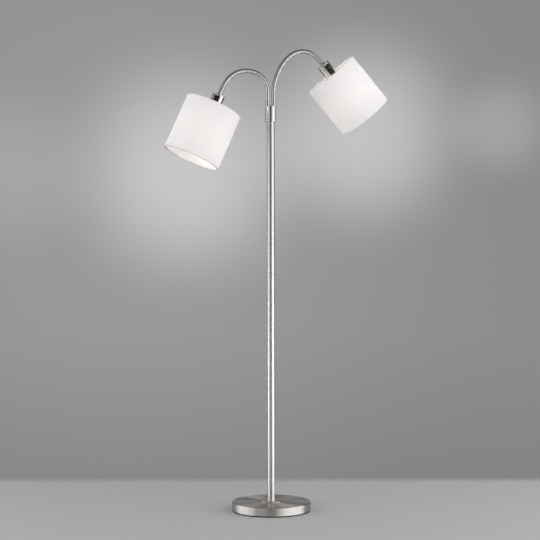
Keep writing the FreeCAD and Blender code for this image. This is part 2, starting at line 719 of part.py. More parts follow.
def shade_spider():
    """Hub washer, three round arms and the wire ring under the shade's top edge, welded together."""
    hub = ring(SPIDER_HUB_DIAMETER / 2, HOLDER_SKIRT_DIAMETER / 2 + SLIP, HOLDER_FLANGE_END, HUB_END)
    wire = Part.makeTorus(WIRE_RING_RADIUS, WIRE_DIAMETER / 2, Z * TOP_WIRE)
    arm = SPIDER_ARM_DIAMETER / 2
    inner = Vector(SPIDER_HUB_DIAMETER / 2 - arm, 0, (HOLDER_FLANGE_END + HUB_END) / 2)
    outer = Vector(WIRE_RING_RADIUS, 0, TOP_WIRE)
    bar = Part.makeCylinder(arm, (outer - inner).Length, inner, outer - inner)
    arms = []
    for angle in SPIDER_ARM_ANGLES:
        arms.append(moved(bar, Placement(ORIGIN, Rotation(Z, angle))))
    return hub.multiFuse(arms + [wire])


def shade_ring():
    """The moulded ring that screws onto the lampholder and clamps the spider."""
    hole = HOLDER_SKIRT_DIAMETER / 2 + SLIP
    body, lip = SHADE_RING_DIAMETER / 2, SHADE_RING_LIP_DIAMETER / 2
    profile = [
        (hole, HUB_END), (lip, HUB_END), (lip, HUB_END + SHADE_RING_LIP),
        (body, HUB_END + SHADE_RING_LIP), (body, HUB_END + SHADE_RING_HEIGHT),
        (hole, HUB_END + SHADE_RING_HEIGHT),
    ]
    return rounded(lathe(profile), SHADE_RING_EDGE_RADIUS, [(body, HUB_END + SHADE_RING_HEIGHT)])


def head_pieces(side):
    """Every piece of one head, by the end of its node's name."""
    stud = STUD_DIAMETER / 2
    shade_end = SHADE_DROP + SHADE_HEIGHT
    return {
        "socket_cup": socket_cup(side),
        "cup_nipple": ring(stud, STUD_BORE / 2, -NIPPLE_IN_NECK, CUP_TOP + CUP_NUT_HEIGHT + NUT_UNDER),
        "cup_nut": hexagon(NUT_ACROSS_FLATS, stud + SLIP, CUP_TOP, CUP_TOP + CUP_NUT_HEIGHT),
        "switch_housing": moved(switch_housing(), facing(side)),
        "switch_rocker": moved(switch_rocker(), facing(side)),
        "lampholder_body": lampholder_body(),
        "lampholder_contacts": lampholder_contacts(),
        "bulb_cap": bulb_cap(),
        "bulb_glass": bulb_glass(),
        "shade_spider": shade_spider(),
        "shade_ring": shade_ring(),
        "shade_drum": ring(SHADE_DIAMETER / 2, SHADE_INNER, SHADE_DROP, shade_end),
        "shade_bottom_wire": Part.makeTorus(WIRE_RING_RADIUS, WIRE_DIAMETER / 2, Z * BOTTOM_WIRE),
    }


def make_side(side):
    frames = neck_frames(side)
    for index, frame in enumerate(frames[:-1]):
        put("%s_neck_link_%d" % (side, index + 1), moved(neck_link(side, index), frame))
    put("%s_neck_lead" % side, neck_lead(side))
    for name, shape in head_pieces(side).items():
        put("%s_%s" % (side, name), moved(shape, frames[-1]))


def show(name, vector):
    print("%s: %.3f %.3f %.3f" % (name, vector.x, vector.y, vector.z))


def report_joints(side):
    """Prints the balls' centres, the travel of each and the rocker's pivot, for the joint table."""
    frames = neck_frames(side)
    for number, (frame, travel) in enumerate(zip(frames[1:], hinge_travel(side)), 1):
        show("%s_bend_%d centre" % (side, number), frame.Base)
        print("   back %.4f on %.4f" % travel)
    turned = frames[-1].multiply(facing(side))
    pivot = Vector(0, -(BEZEL_FACE - ROCKER_PIVOT_DEPTH), SWITCH_MIDDLE)
    show("%s rocker pivot" % side, turned.multVec(pivot))
    show("%s rocker axis" % side, turned.Rotation.multVec(X))
    show("%s cup top" % side, frames[-1].Base)
    show("%s head axis" % side, frames[-1].Rotation.multVec(Z))


os.makedirs("parts", exist_ok=True)
make_base()
make_pole()
make_collar()
for name in SIDES:
    make_side(name)
    report_joints(name)
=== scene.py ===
"""Finish and studio light of a two-headed gooseneck floor lamp with white drum shades.

Lengths are in metres and angles in degrees. The lamp stands on z = 0 with its pole on the Z axis, and
both necks bend in the XZ plane. A head is drawn about its own axis, with the socket cup's top at its
origin and the shade's mouth towards +Z, and is then carried to its place at the end of its neck.
"""

import json
import math

import bmesh
import bpy
import numpy as np
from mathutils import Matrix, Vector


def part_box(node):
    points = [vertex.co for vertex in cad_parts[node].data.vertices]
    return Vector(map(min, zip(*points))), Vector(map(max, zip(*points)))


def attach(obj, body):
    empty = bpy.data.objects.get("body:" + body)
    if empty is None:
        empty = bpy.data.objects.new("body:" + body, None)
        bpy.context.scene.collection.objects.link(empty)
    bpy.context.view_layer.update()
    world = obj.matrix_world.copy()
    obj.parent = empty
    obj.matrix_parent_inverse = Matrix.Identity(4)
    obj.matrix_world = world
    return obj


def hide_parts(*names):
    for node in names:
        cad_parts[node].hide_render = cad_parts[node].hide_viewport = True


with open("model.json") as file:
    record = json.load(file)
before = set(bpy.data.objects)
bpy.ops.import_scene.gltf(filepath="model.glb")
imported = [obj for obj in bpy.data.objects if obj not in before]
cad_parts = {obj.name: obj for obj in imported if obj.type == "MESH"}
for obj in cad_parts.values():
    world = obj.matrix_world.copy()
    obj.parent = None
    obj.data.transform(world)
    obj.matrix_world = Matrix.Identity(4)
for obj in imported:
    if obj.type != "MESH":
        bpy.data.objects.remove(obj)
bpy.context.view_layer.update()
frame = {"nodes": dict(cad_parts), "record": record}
MM = 0.001

# ---------------------------------------------------------------- the view
CAMERA_AZIMUTH = -13.6        # the camera stands this far round from straight in front
CAMERA_DISTANCE = 4.05
CAMERA_HEIGHT = 0.765
CAMERA_LENS = 84.77
CAMERA_PAN = 0.042
CAMERA_ROLL = 0.103

# the grey wall behind the lamp: its tone at the foot, above it and at the top, and its glows as
# (column, row, reach, strength), in shares of the lens' length from the middle of the picture
WALL_TONES = (0.23, 0.265, 0.252)
WALL_RISES = (-0.165, -0.05, 0.21)
WALL_GLOWS = (
    (-0.066, -0.079, 0.127, 0.25),
    (-0.108, -0.070, 0.385, 0.062),
    (-0.205, -0.080, 0.090, 0.060),
    (0.072, -0.108, 0.112, 0.25),
    (0.181, -0.113, 0.057, 0.10),
)
# outside the picture, metal sees the wall dimmed to a share of its tone: fully where the cosine of the
# angle from the picture's middle is under the first of the two, and not at all where it is over the second
WALL_DIMMED = 0.35
DIMMED_COSINES = (0.90, 0.955)

# ---------------------------------------------------------------- sizes shared with the construction
COLLAR_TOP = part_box("collar_shell")[1].z
NECK_OFFSET = 9.6 * MM
NECK_RADIUS = 7.0 * MM
NECK_BORE = 3.4 * MM
LEAD_RADIUS = 2.6 * MM
LEAD_TAIL = 14.0 * MM
NECK_LIMITS = (40.0, 180.0)   # a neck's whole turn when it is straightened and when it is bent most
HOLDER_TOP = 44.0 * MM
HOLDER_MOUTH = 94.0 * MM
SIDES = {
    "left": {
        "azimuth": 180.0,
        "neck_length": 280.0 * MM,
        "turns": (0.0, 26.0, 43.0, 27.0, 30.0, 25.0, 5.0),
        "switch_turn": 197.5,
    },
    "right": {
        "azimuth": 0.0,
        "neck_length": 305.0 * MM,
        "turns": (0.0, 17.0, 13.0, 18.0, 33.0, 45.0, 13.0),
        "switch_turn": -5.0,
    },
}
CUP_RADIUS = 20.0 * MM
CUP_LENGTH = 72.0 * MM
CUP_WALL = 1.2 * MM
CUP_HOLE = 5.05 * MM
CUP_EDGE = 1.2 * MM
WINDOW_WIDTH = 16.5 * MM
WINDOW_SPAN = (7.45 * MM, 38.55 * MM)
SHADE_RADIUS = 91.3 * MM
SHADE_SPAN = (39.5 * MM, 219.5 * MM)
SHADE_WALL = 1.1 * MM
WIRE_RADIUS = 1.3 * MM
BULB_CAP_SPAN = (54.5 * MM, 80.0 * MM)
BULB_CAP_RADIUS = 13.2 * MM
BULB_RADIUS = 30.0 * MM
BULB_TIP = 163.0 * MM
BULB_WALL = 1.0 * MM

# ---------------------------------------------------------------- sizes of the finish
RIB_PITCH = 3.0 * MM
GROOVE_DEPTH = 0.3 * MM
GROOVE_SHARPNESS = 5
ROWS_PER_RIB = 10
HOSE_COLUMNS = 36
LINK_ROWS = 9                 # rings down a link's bore, and down its socket and its ball
LINK_GAP = 0.1 * MM
BALL_RADIUS = 6.65 * MM
BALL_REACH = 3.9 * MM         # how far a ball goes past its joint, and its opening's radius there
BALL_MOUTH = 5.25 * MM
SOCKET_RADIUS = 6.8 * MM
LEAD_GAP = 0.8 * MM
LEAD_COLUMNS = 16
LEAD_ROWS = 13
MERGED = 0.002 * MM           # points closer than this are one
SPECK = 0.0005 * MM           # edges shorter than this are dropped


# ---------------------------------------------------------------- meshes


def rounded_outline(corners, closed=True, steps=6, hold=0.35):
    """An outline with rounded corners, from (x, y, radius) corners.

    A corner of radius f that turns by t is replaced by the arc that touches both its edges, from
    f * tan(t / 2) before it to as far after it. One more point lies hold * f outside each end of the
    arc, so that the flat beside it stays flat when it is shaded.
    """
    points = []
    count = len(corners)
    for index, (x, y, radius) in enumerate(corners):
        here = np.array([x, y])
        inside = closed or 0 < index < count - 1
        if radius <= 0 or not inside:
            points.append(here)
            continue
        back = np.array(corners[index - 1][:2]) - here
        on = np.array(corners[(index + 1) % count][:2]) - here
        back, on = back / np.linalg.norm(back), on / np.linalg.norm(on)
        turn = math.pi - math.acos(np.clip(back @ on, -1, 1))
        reach = radius * math.tan(turn / 2)
        middle = (back + on) / np.linalg.norm(back + on)
        centre = here + middle * radius / math.cos(turn / 2)
        first, last = here + back * reach - centre, here + on * reach - centre
        share = np.linspace(0, 1, steps + 1)[:, None]
        arc = first * np.sin((1 - share) * turn) + last * np.sin(share * turn)
        points.append(here + back * (reach + hold * radius))
        points.extend(centre + arc / math.sin(turn))
        points.append(here + on * (reach + hold * radius))
    return np.array(points)


def even_angles(count):
    return np.arange(count) * 2 * math.pi / count


def turned(outline, angles, cut=None):
    """A turned skin: outline point (r, z) at angle a lies at ((r - cut) cos a, (r - cut) sin a, z)."""
    radius = np.repeat(outline[:, :1], len(angles), 1)
    height = np.repeat(outline[:, 1:], len(angles), 1)
    if cut is not None:
        radius = radius - cut(radius, height, angles[None, :])
    return np.stack([radius * np.cos(angles), radius * np.sin(angles), height], -1)


def patch(points, close_rows=False, lead=0, angles=None, keep=None):
    """A grid of points that goes round, with its quads, its map and its brushing coordinates.

    Quad (i, j) joins the grid points (i, j), (i + 1, j), (i + 1, j + 1) and (i, j + 1). From the last
    column back to the first the rows join lead rows further on, which winds the grid into a screw. The
    map's u and v are the distances run across and along the grid, and the brushing coordinates of a
    point are (cos a, sin a, v) for its column's angle a. keep(i, j) picks the quads that stay.
    """
    rows, columns = points.shape[:2]
    i = np.arange(rows if close_rows else rows - 1)
    i, j = (grid.ravel() for grid in np.meshgrid(i, np.arange(columns), indexing="ij"))
    if keep is not None:
        stays = keep(i, j)
        i, j = i[stays], j[stays]
    ci = np.stack([i, i + 1, i + 1, i], -1)
    cj = np.stack([j, j, j + 1, j + 1], -1)
    row = ci + np.where(cj == columns, lead, 0)
    fits = np.ones(len(row), bool) if close_rows else (row < rows).all(1)
    ci, cj, row = ci[fits], cj[fits], row[fits]
    corners = (row % rows) * columns + cj % columns
    down = np.linalg.norm(np.diff(points, axis=0, append=points[:1]), axis=-1).max(1)
    over = np.linalg.norm(np.diff(points, axis=1, append=points[:, :1]), axis=-1).max(0)
    v = np.concatenate([[0], np.cumsum(down)])
    u = np.concatenate([[0], np.cumsum(over)])
    if angles is None:
        angles = even_angles(columns)
    brush = np.broadcast_arrays(np.cos(angles)[None], np.sin(angles)[None], v[:rows, None])
    brush = np.stack(brush, -1)
    return {
        "points": points.reshape(-1, 3),
        "corners": corners,
        "map": np.stack([u[cj], v[ci]], -1).reshape(-1, 2),
        "brush": brush.reshape(-1, 3),
    }


def make_mesh(name, patches, material, place=None, sharp=35.0):
    """One object from patches, carried to its place, with its doubled points merged."""
    starts = np.cumsum([0] + [len(p["points"]) for p in patches])
    points = np.concatenate([p["points"] for p in patches])
    if place is not None:
        points = points @ place[:3, :3].T + place[:3, 3]
    corners = np.concatenate([p["corners"] + start for p, start in zip(patches, starts)])
    runs = np.concatenate([p["map"] for p in patches]).astype(np.float32)
    brushes = np.concatenate([p["brush"] for p in patches]).astype(np.float32)
    mesh = bpy.data.meshes.new(name)
    mesh.vertices.add(len(points))
    mesh.vertices.foreach_set("co", points.astype(np.float32).ravel())
    mesh.loops.add(corners.size)
    mesh.loops.foreach_set("vertex_index", corners.astype(np.int32).ravel())
    mesh.polygons.add(len(corners))
    mesh.polygons.foreach_set("loop_start", np.arange(0, corners.size, 4, dtype=np.int32))
    mesh.update(calc_edges=True)
    layer = mesh.uv_layers.new(name="Run")
    layer.data.foreach_set("uv", runs.ravel())
    brush = mesh.attributes.new("brush", "FLOAT_VECTOR", "POINT")
    brush.data.foreach_set("vector", brushes.ravel())
    work = bmesh.new()
    work.from_mesh(mesh)
    bmesh.ops.remove_doubles(work, verts=work.verts, dist=MERGED)
    bmesh.ops.dissolve_degenerate(work, edges=work.edges, dist=SPECK)
    bmesh.ops.recalc_face_normals(work, faces=work.faces)
    work.to_mesh(mesh)
    work.free()
    mesh.validate()
    mesh.polygons.foreach_set("use_smooth", np.ones(len(mesh.polygons), bool))
    mesh.set_sharp_from_angle(angle=math.radians(sharp))
    mesh.materials.append(material)
    piece = bpy.data.objects.new(name, mesh)
    bpy.context.scene.collection.objects.link(piece)
    return piece


def turned_piece(name, outline, material, segments=96, place=None, cut=None, sharp=35.0):
    """A closed outline turned about the Z axis into one solid."""
    skin = patch(turned(outline, even_angles(segments), cut), close_rows=True)
    return make_mesh(name, [skin], material, place, sharp=sharp)


def carried(piece, body, slot, *nodes):
    """The piece moves with a body and stands for the named nodes, which it hides. The slot is not used."""
    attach(piece, body)
    if nodes:
        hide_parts(*nodes)


# ---------------------------------------------------------------- materials


def start_material(name, **sockets):
    """A material whose even values are set on the shader's own sockets."""
    material = bpy.data.materials.new(name)
    material.use_nodes = True
    shader = material.node_tree.nodes["Principled BSDF"]
    for socket, value in sockets.items():
        shader.inputs[socket.replace("_", " ")].default_value = value
    return material, material.node_tree, shader


def node(tree, kind, inputs=(), **settings):
    """A node with its settings, and its inputs either linked or set."""
    made = tree.nodes.new("ShaderNode" + kind)
    for key, value in settings.items():
        setattr(made, key, value)
    for key, value in dict(inputs).items():
        if isinstance(value, bpy.types.NodeSocket):
            tree.links.new(value, made.inputs[key])
        else:
            made.inputs[key].default_value = value
    return made


def object_coordinates(tree):
    return node(tree, "TexCoord").outputs["Object"]


def brushing(tree):
    return node(tree, "Attribute", attribute_name="brush").outputs["Vector"]


def stretched(tree, vector, scale):
    return node(tree, "Mapping", {"Vector": vector, "Scale": scale}).outputs["Vector"]


def noise(tree, vector, scale, detail=2.0, rough=0.5):
    inputs = {"Vector": vector, "Scale": scale, "Detail": detail, "Roughness": rough}
    return node(tree, "TexNoise", inputs).outputs["Fac"]


def spread(tree, value, low, high, start=0.3, end=0.7):
    """A value carried from one range to another."""
    inputs = {"Value": value, "From Min": start, "From Max": end, "To Min": low, "To Max": high}
    return node(tree, "MapRange", inputs).outputs["Result"]


def between(tree, share, first, second):
    """A colour mixed from two by a share."""
    made = node(tree, "Mix", data_type="RGBA")
    tree.links.new(share, made.inputs[0])
    made.inputs[6].default_value = (*first, 1)
    made.inputs[7].default_value = (*second, 1)
    return made.outputs[2]


def emboss(tree, shader, height, distance, strength):
    """Raises a shader's surface by a height pattern."""
    inputs = {"Height": height, "Distance": distance, "Strength": strength}
    bump = node(tree, "Bump", inputs)
    tree.links.new(bump.outputs["Normal"], shader.inputs["Normal"])


def satin_nickel(name, line=0.25 * MM, anisotropy=0.9, roughness=0.34, tone=1.0):
    """Nickel plate brushed round the turned piece: fine lines that run round it, with faint bands."""
    light = tuple(tone * c for c in (0.70, 0.672, 0.645))
    dark = tuple(tone * c for c in (0.67, 0.64, 0.612))
    material, tree, shader = start_material(
        name, Metallic=1.0, Anisotropic=anisotropy, Anisotropic_Rotation=0.25)
    brush = brushing(tree)
    lines = noise(tree, stretched(tree, brush, (2.0, 2.0, 1 / line)), 1.0, 3.0, 0.6)
    bands = noise(tree, stretched(tree, brush, (0.3, 0.3, 0.02 / line)), 1.0, 2.0)
    tree.links.new(between(tree, spread(tree, bands, 0, 1), dark, light), shader.inputs["Base Color"])
    rough = spread(tree, lines, roughness - 0.03, roughness + 0.05)
    tree.links.new(rough, shader.inputs["Roughness"])
    tangent = node(tree, "Tangent", direction_type="UV_MAP", uv_map="Run")
    tree.links.new(tangent.outputs["Tangent"], shader.inputs["Tangent"])
    emboss(tree, shader, lines, 0.001 * MM, 0.3)
    return material


def plated(name, light, dark, roughness, grain, metal, relief, sheen):
    """A plain plated, cast or moulded finish: a fine even grain in its tone, gloss and surface."""
    material, tree, shader = start_material(name, Metallic=metal, Specular_IOR_Level=sheen)
    where = object_coordinates(tree)
    fine = noise(tree, where, 1 / grain, 3.0)
    broad = noise(tree, where, 0.06 / grain, 2.0)
    tree.links.new(between(tree, spread(tree, broad, 0, 1), dark, light), shader.inputs["Base Color"])
    tree.links.new(spread(tree, fine, roughness * 0.85, roughness * 1.15), shader.inputs["Roughness"])
    emboss(tree, shader, fine, relief, 0.5)
    return material


def shade_cloth():
    """White woven cloth on a stiff liner: crossed threads of |sin|, slubs, and light let through."""
    material, tree, shader = start_material(
        "shade_cloth", Roughness=0.85, Sheen_Weight=0.25, Sheen_Roughness=0.5)
    run = node(tree, "UVMap", uv_map="Run").outputs["UV"]
    axes = node(tree, "SeparateXYZ", {"Vector": run})
    thread = 0.42 * MM
    heights = []
    for axis in "XY":
        slub = noise(tree, stretched(tree, run, (150.0, 150.0, 1.0)), 1.0, 2.0)
        phase = node(tree, "Math", {0: axes.outputs[axis], 1: 2 * math.pi / thread}, operation="MULTIPLY")
        wander = node(tree, "Math", {0: slub, 1: 2.5}, operation="MULTIPLY")
        total = node(tree, "Math", {0: phase.outputs[0], 1: wander.outputs[0]}, operation="ADD")
        wave = node(tree, "Math", {0: total.outputs[0]}, operation="SINE")
        heights.append(node(tree, "Math", {0: wave.outputs[0]}, operation="ABSOLUTE").outputs[0])
    weave = node(tree, "Math", {0: heights[0], 1: heights[1]}, operation="MULTIPLY").outputs[0]
    slubs = noise(tree, stretched(tree, run, (60.0, 900.0, 1.0)), 1.0, 3.0)
    mottle = noise(tree, object_coordinates(tree), 14.0, 2.0)
    tone = node(tree, "Math", {0: slubs, 1: mottle}, operation="ADD").outputs[0]
    color = between(tree, spread(tree, tone, 0, 1, 0.7, 1.3), (0.855, 0.848, 0.85), (0.885, 0.88, 0.883))
    tree.links.new(color, shader.inputs["Base Color"])
    emboss(tree, shader, weave, 0.02 * MM, 0.35)
    return let_through(tree, shader, material, (0.95, 0.90, 0.89), 0.28)


def shade_liner():
    """The stiff white liner that shows inside the shade."""
    material, tree, shader = start_material("shade_liner", Roughness=0.55)
    cloudy = noise(tree, object_coordinates(tree), 40.0, 3.0)
    color = between(tree, spread(tree, cloudy, 0, 1), (0.90, 0.893, 0.89), (0.92, 0.915, 0.912))
    tree.links.new(color, shader.inputs["Base Color"])
    emboss(tree, shader, noise(tree, object_coordinates(tree), 1200.0), 0.01 * MM, 0.2)
    return let_through(tree, shader, material, (0.96, 0.94, 0.93), 0.35)


def let_through(tree, shader, material, color, share):
    """Mixes a share of light from behind into a finished shader."""
    through = node(tree, "BsdfTranslucent", {"Color": (*color, 1)})
    mixed = node(tree, "MixShader", {0: share})
    tree.links.new(shader.outputs[0], mixed.inputs[1])
    tree.links.new(through.outputs[0], mixed.inputs[2])
    tree.links.new(mixed.outputs[0], tree.nodes["Material Output"].inputs["Surface"])
    return material


def opal_glass():
    """Opal glass of a lit bulb: warm light, a touch stronger in soft clouds."""
    material, tree, shader = start_material(
        "opal_glass", Roughness=0.3, Base_Color=(0.93, 0.92, 0.89, 1), Emission_Strength=5.6)
    clouds = noise(tree, object_coordinates(tree), 30.0, 2.0)
    color = between(tree, spread(tree, clouds, 0, 1), (1.0, 0.92, 0.87), (1.0, 0.94, 0.90))
    tree.links.new(color, shader.inputs["Emission Color"])
    return material


def make_materials():
    """Every finish by its name.

    A plain one has its two tones, roughness, grain in mm, share of metal, relief in mm and sheen.
    """
    finish = {
        "turned_nickel": satin_nickel("turned_nickel"),
        "brushed_top": satin_nickel("brushed_top", 0.5 * MM, 0.93, 0.42),
        "hose_nickel": satin_nickel("hose_nickel", 0.2 * MM, 0.2, 0.2, 0.9),
        "opal_glass": opal_glass(),
        "shade_fabric": shade_cloth(),
        "shade_liner": shade_liner(),
    }
    plain = {
        "satin_nickel": ((0.70, 0.672, 0.645), (0.68, 0.652, 0.625), 0.2, 0.6, 1, 0.0005, 0.5),
        "cast_iron": ((0.14, 0.14, 0.14), (0.08, 0.08, 0.08), 0.7, 1.5, 0.6, 0.1, 0.5),
        "black_pad": ((0.010, 0.010, 0.010), (0.006, 0.006, 0.006), 1.0, 0.8, 0, 0.1, 0.05),
        "black_rubber": ((0.035, 0.035, 0.036), (0.022, 0.022, 0.023), 0.6, 0.5, 0, 0.01, 0.5),
        "zinc_steel": ((0.66, 0.67, 0.68), (0.55, 0.56, 0.57), 0.32, 2.0, 1, 0.01, 0.5),
        "lead_sheath": ((0.06, 0.06, 0.06), (0.04, 0.04, 0.04), 0.4, 0.8, 0, 0.01, 0.5),
        "holder_plastic": ((0.88, 0.87, 0.84), (0.84, 0.83, 0.80), 0.45, 0.4, 0, 0.01, 0.5),
        "switch_black": ((0.008, 0.008, 0.009), (0.005, 0.005, 0.006), 0.42, 0.3, 0, 0.01, 0.3),
        "rocker_black": ((0.018, 0.019, 0.020), (0.012, 0.013, 0.014), 0.3, 0.3, 0, 0.01, 0.4),
        "brass": ((0.76, 0.58, 0.30), (0.66, 0.50, 0.25), 0.25, 1.0, 1, 0.01, 0.5),
        "bulb_metal": ((0.80, 0.80, 0.80), (0.72, 0.72, 0.72), 0.25, 0.6, 1, 0.01, 0.5),
        "white_wire": ((0.88, 0.88, 0.86), (0.84, 0.84, 0.82), 0.35, 1.0, 0, 0.01, 0.5),
        # painted shade: a grey that stands for the shaded rim of a shade's mouth
        "painted_mouth_shade": ((0.50, 0.495, 0.49), (0.45, 0.445, 0.44), 0.6, 0.5, 0, 0.01, 0.5),
    }
    for name, (light, dark, roughness, grain, metal, relief, sheen) in plain.items():
        finish[name] = plated(name, light, dark, roughness, grain * MM, metal, relief * MM, sheen)
    return finish


# ---------------------------------------------------------------- camera, floor and light


def direction(azimuth):
    """The level direction from the lamp towards an azimuth: (sin a, -cos a)."""
    turn = math.radians(azimuth)
    return np.array([math.sin(turn), -math.cos(turn), 0.0])


def make_camera():
    """A long lens at about half the lamp's height, a little to the left of straight in front."""
    data = bpy.data.cameras.new("camera")
    data.lens = CAMERA_LENS
    data.sensor_width = 36.0
    camera = bpy.data.objects.new("camera", data)
    bpy.context.scene.collection.objects.link(camera)
    camera.location = direction(CAMERA_AZIMUTH) * CAMERA_DISTANCE + [0, 0, CAMERA_HEIGHT]
    turn = [90.0, CAMERA_ROLL, CAMERA_AZIMUTH + CAMERA_PAN]
    camera.rotation_euler = [math.radians(a) for a in turn]
    bpy.context.scene.camera = camera


def softbox(name, turn, distance, height, width, tall, power, lean=0.0, mirrored=True, shines=True):
    """A soft light that faces the lamp, turned round from the camera's side and leant down."""
    data = bpy.data.lights.new(name, "AREA")
    data.shape = "RECTANGLE"
    data.size, data.size_y = width, tall
    data.energy = power
    light = bpy.data.objects.new(name, data)
    bpy.context.scene.collection.objects.link(light)
    away = direction(CAMERA_AZIMUTH + turn)
    light.location = away * distance + [0, 0, height]
    light.rotation_euler = (math.radians(90 - lean), 0, math.radians(CAMERA_AZIMUTH + turn))
    light.visible_camera = False
    light.visible_glossy = mirrored
    light.visible_diffuse = shines


def in_view(column, row):
    """The direction from the camera to a place in the picture, given in shares of the lens' length."""
    away, up = -direction(CAMERA_AZIMUTH), np.array([0.0, 0.0, 1.0])
    ray = away + column * np.cross(away, up) - row * up
    return ray / np.linalg.norm(ray)


def make_world(fill):
    """Camera, metal and glass see a grey wall with soft glows. Everything else is lit by an even fill."""
    world = bpy.data.worlds.new("studio")
    bpy.context.scene.world = world
    world.use_nodes = True
    tree = world.node_tree
    ray = node(tree, "TexCoord").outputs["Generated"]
    rise = node(tree, "SeparateXYZ", {"Vector": ray}).outputs["Z"]
    lower = spread(tree, rise, *WALL_TONES[:2], *WALL_RISES[:2])
    upper = spread(tree, rise, 0.0, WALL_TONES[2] - WALL_TONES[1], *WALL_RISES[1:])
    tone = node(tree, "Math", {0: lower, 1: upper}, operation="ADD").outputs[0]
    for column, row, reach, strength in WALL_GLOWS:
        near = {0: ray, 1: tuple(in_view(column, row))}
        far = node(tree, "VectorMath", near, operation="DISTANCE").outputs["Value"]
        inputs = {"Value": far, "From Min": 0.0, "From Max": reach, "To Min": strength, "To Max": 0.0}
        glow = node(tree, "MapRange", inputs, interpolation_type="SMOOTHERSTEP").outputs["Result"]
        tone = node(tree, "Math", {0: tone, 1: glow}, operation="ADD").outputs[0]
    ahead = {0: ray, 1: tuple(in_view(0.0, 0.0))}
    ahead = node(tree, "VectorMath", ahead, operation="DOT_PRODUCT").outputs["Value"]
    dimmed = spread(tree, ahead, WALL_DIMMED, 1.0, *DIMMED_COSINES)
    path = node(tree, "LightPath")
    seen = path.outputs["Is Camera Ray"]
    dimmed = node(tree, "Math", {0: dimmed, 1: seen}, operation="MAXIMUM").outputs[0]
    tone = node(tree, "Math", {0: tone, 1: dimmed}, operation="MULTIPLY").outputs[0]
    for kind in ("Is Glossy Ray", "Is Transmission Ray"):
        seen = node(tree, "Math", {0: seen, 1: path.outputs[kind]}, operation="MAXIMUM").outputs[0]
    color = node(tree, "Mix", data_type="FLOAT")
    tree.links.new(seen, color.inputs[0])
    color.inputs[2].default_value = fill
    tree.links.new(tone, color.inputs[3])
    tree.links.new(color.outputs[0], tree.nodes["Background"].inputs["Color"])


def make_floor(tone, back, solid, gone):
    """A pale floor that ends at the wall behind the lamp and fades out far to the sides."""
    bpy.ops.mesh.primitive_grid_add(x_subdivisions=4, y_subdivisions=4, size=2 * gone)
    floor = bpy.context.active_object
    floor.name = "floor"
    material, tree, shader = start_material("floor", Roughness=0.8)
    shader.inputs["Base Color"].default_value = (tone, tone, tone, 1)
    where = object_coordinates(tree)
    far = node(tree, "VectorMath", {0: where}, operation="LENGTH").outputs["Value"]
    behind = {0: where, 1: tuple(-direction(CAMERA_AZIMUTH))}
    behind = node(tree, "VectorMath", behind, operation="DOT_PRODUCT").outputs["Value"]
    sides = spread(tree, far, 0, 1, solid, gone)
    edge = spread(tree, behind, 0, 1, back - 0.04, back + 0.06)
    share = node(tree, "Math", {0: sides, 1: edge}, operation="MAXIMUM").outputs[0]
    clear = node(tree, "BsdfTransparent")
    mixed = node(tree, "MixShader", {0: share})
    tree.links.new(shader.outputs[0], mixed.inputs[1])
    tree.links.new(clear.outputs[0], mixed.inputs[2])
    tree.links.new(mixed.outputs[0], tree.nodes["Material Output"].inputs["Surface"])
    floor.data.materials.append(material)


def make_flag(distance, height, width, tall):
    """A black flag behind the camera, which darkens the middle of what the metal mirrors."""
    bpy.ops.mesh.primitive_plane_add(size=1)
    flag = bpy.context.active_object
    flag.name = "flag"
    flag.scale = (width, tall, 1)
    flag.location = direction(CAMERA_AZIMUTH) * distance + [0, 0, height]
    flag.rotation_euler = (math.radians(90), 0, math.radians(CAMERA_AZIMUTH))
    material, _, _ = start_material("flag", Base_Color=(0.02, 0.02, 0.02, 1), Roughness=0.9)
    flag.data.materials.append(material)
    flag.visible_camera = False


def make_studio():
    """The grey studio.

    A softbox has its turn, distance and height, the width and height of its face, and its power.
    """
    bpy.context.scene.view_settings.view_transform = "Standard"
    make_world(0.52)
    make_floor(0.44, 0.57, 1.3, 2.6)
    make_flag(4.4, 1.31, 1.9, 2.6)
    softbox("left_softbox", -105.0, 2.6, 1.2, 2.2, 2.8, 11.0)
    softbox("left_strip", -62.0, 3.4, 1.2, 1.5, 2.8, 23.0)
    softbox("right_softbox", 72.0, 2.4, 1.2, 3.2, 2.8, 40.0)
    softbox("top_softbox", 0.0, 1.9, 3.5, 2.4, 0.9, 4.0, lean=50.0)
    softbox("front_left", -30.0, 3.2, 1.2, 1.7, 2.8, 7.0)
    softbox("front_right", 27.0, 3.2, 1.2, 1.1, 2.8, 5.0)
    softbox("low_left", -90.0, 1.9, 0.22, 1.5, 0.4, 7.5, shines=False)
    softbox("low_right", 62.0, 1.9, 0.22, 3.6, 0.4, 14.0, shines=False)
    softbox("left_bounce", -60.0, 2.6, 0.7, 2.4, 2.0, 11.0, lean=-12.0, mirrored=False)
    softbox("right_bounce", 70.0, 2.6, 0.9, 2.4, 2.0, 17.0, mirrored=False)
    softbox("low_bounce", -45.0, 1.8, 0.25, 2.0, 1.2, 9.0, lean=-35.0, mirrored=False)


# ---------------------------------------------------------------- base, pole and collar


